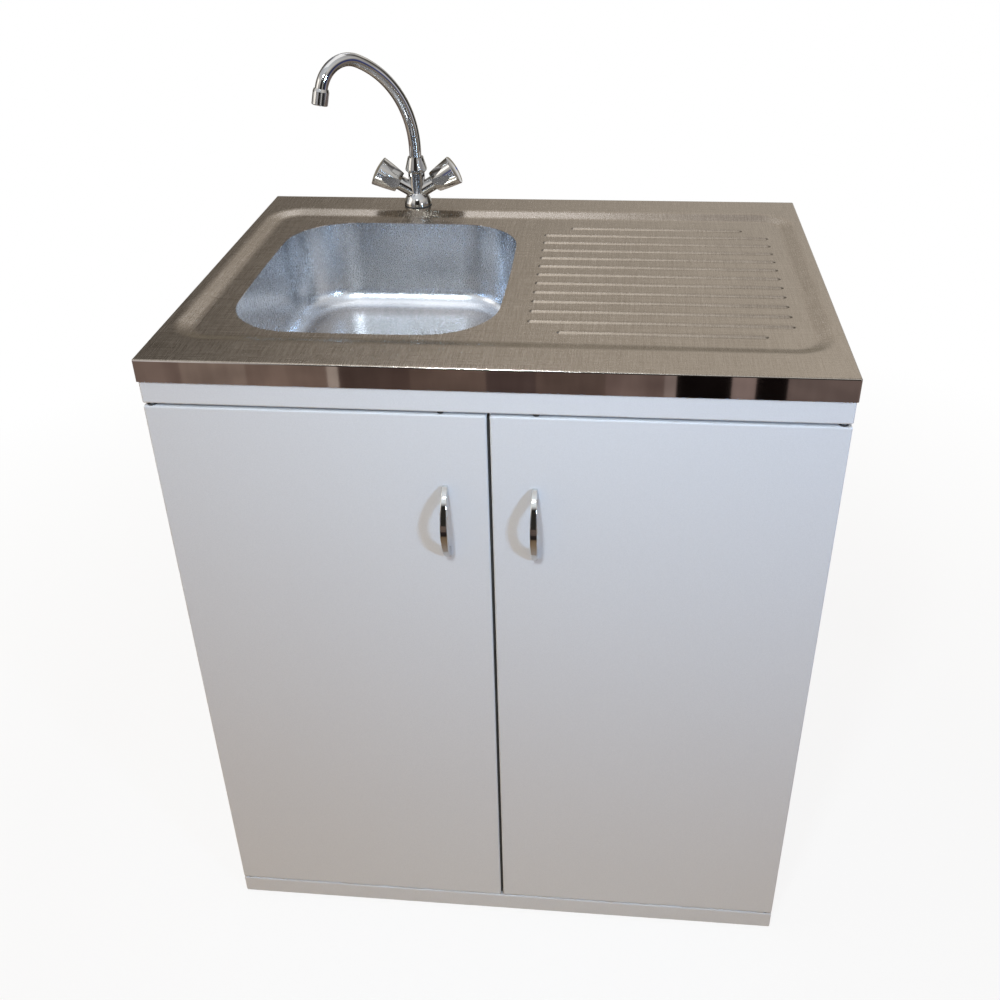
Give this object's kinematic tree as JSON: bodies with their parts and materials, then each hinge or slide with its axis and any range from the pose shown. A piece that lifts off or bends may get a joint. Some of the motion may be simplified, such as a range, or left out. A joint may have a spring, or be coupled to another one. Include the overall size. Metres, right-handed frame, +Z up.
{
  "type": "kitchen sink unit",
  "caption": "Kitchen sink unit: stainless lay-on top with bowl, ribbed drainer and swivel mixer tap on a folded steel cabinet with hinged doors and a bottle trap.",
  "frame": {"origin": "on the floor, under the middle of the whole unit's bounding box, with the door handles counted in", "axes": "+Z up; the doors face -Y; +X to the right of someone facing the doors"},
  "size_m": [0.8, 0.627, 1.1443],
  "materials": {
    "deck_steel": "fine brushed",
    "bowl_steel": "satin",
    "waste_steel": "polished",
    "tap_chrome": "polished",
    "handle_chrome": "polished",
    "cabinet_coat": "fine textured powder coat",
    "zinc": "zinc plated",
    "brass": "turned",
    "black_rubber": "matt",
    "grey_rubber": "matt",
    "trap_plastic": "moulded",
    "aerator_plastic": "moulded",
    "dark_plastic": "moulded",
    "catch_plastic": "moulded",
    "hot_mark": "glossy",
    "cold_mark": "glossy"
  },
  "bodies": {
    "cabinet": {"back_foot_rail": "cabinet_coat", "back_rail": "cabinet_coat", "bottom_panel": "cabinet_coat", "bowl": "bowl_steel", "cold_headwork": "brass", "deck": "deck_steel", "drainer_stiffeners": "bowl_steel", "glides": "dark_plastic", "hot_headwork": "brass", "left_side": "cabinet_coat", "magnetic_catches": "catch_plastic", "outlet_pipe": "trap_plastic", "pivot_pins": "zinc", "plinth_rail": "cabinet_coat", "rail_buffers": "black_rubber", "right_side": "cabinet_coat", "rivets": "zinc", "slip_nuts": "trap_plastic", "spout_collar": "tap_chrome", "strainer_dish": "waste_steel", "tap_body": "tap_chrome", "tap_clamp": "zinc", "tap_gasket": "black_rubber", "tap_nut": "brass", "tap_stud": "zinc", "top_rail": "cabinet_coat", "trap_body": "trap_plastic", "trap_cup": "trap_plastic", "trap_seals": "grey_rubber", "trap_tailpiece": "trap_plastic", "waste_body": "trap_plastic", "waste_gasket": "black_rubber", "waste_screw": "waste_steel"},
    "left_door": {"left_door_skin": "cabinet_coat", "left_door_liner": "cabinet_coat", "left_door_bushes": "dark_plastic", "left_handle": "handle_chrome", "left_handle_screws": "zinc", "left_strike_plate": "zinc", "left_door_seal": "black_rubber"},
    "right_door": {"right_door_skin": "cabinet_coat", "right_door_liner": "cabinet_coat", "right_door_bushes": "dark_plastic", "right_handle": "handle_chrome", "right_handle_screws": "zinc", "right_strike_plate": "zinc"},
    "spout_assembly": {"spout": "tap_chrome", "spout_seals": "black_rubber", "aerator_housing": "tap_chrome", "aerator_insert": "aerator_plastic"},
    "hot_valve": {"hot_knob": "tap_chrome", "hot_spindle": "brass", "hot_index": "hot_mark", "hot_knob_screw": "zinc"},
    "cold_valve": {"cold_knob": "tap_chrome", "cold_spindle": "brass", "cold_index": "cold_mark", "cold_knob_screw": "zinc"},
    "basket": {"strainer_basket": "waste_steel", "basket_seal": "black_rubber"}
  },
  "joints": [
    {"name": "left_door_hinge", "type": "hinge", "parent": "cabinet", "child": "left_door", "pos_m": [-0.3896, -0.2777, 0.4425], "axis": [0, 0, -1], "range_deg": [0, 110]},
    {"name": "right_door_hinge", "type": "hinge", "parent": "cabinet", "child": "right_door", "pos_m": [0.3896, -0.2777, 0.4425], "axis": [0, 0, 1], "range_deg": [0, 110]},
    {"name": "spout_swivel", "type": "hinge", "parent": "cabinet", "child": "spout_assembly", "pos_m": [-0.1685, 0.2795, 0.95], "axis": [0, 0, 1], "continuous": true},
    {"name": "hot_knob_turn", "type": "hinge", "parent": "cabinet", "child": "hot_valve", "pos_m": [-0.21145, 0.27612, 0.95388], "axis": [-0.859, -0.0676, 0.5075], "range_deg": [0, 180]},
    {"name": "cold_knob_turn", "type": "hinge", "parent": "cabinet", "child": "cold_valve", "pos_m": [-0.12555, 0.28288, 0.95388], "axis": [0.859, 0.0676, 0.5075], "range_deg": [0, 180]},
    {"name": "basket_lift", "type": "slide", "parent": "cabinet", "child": "basket", "axis": [0, 0, 1], "range_m": [0, 0.2]}
  ]
}
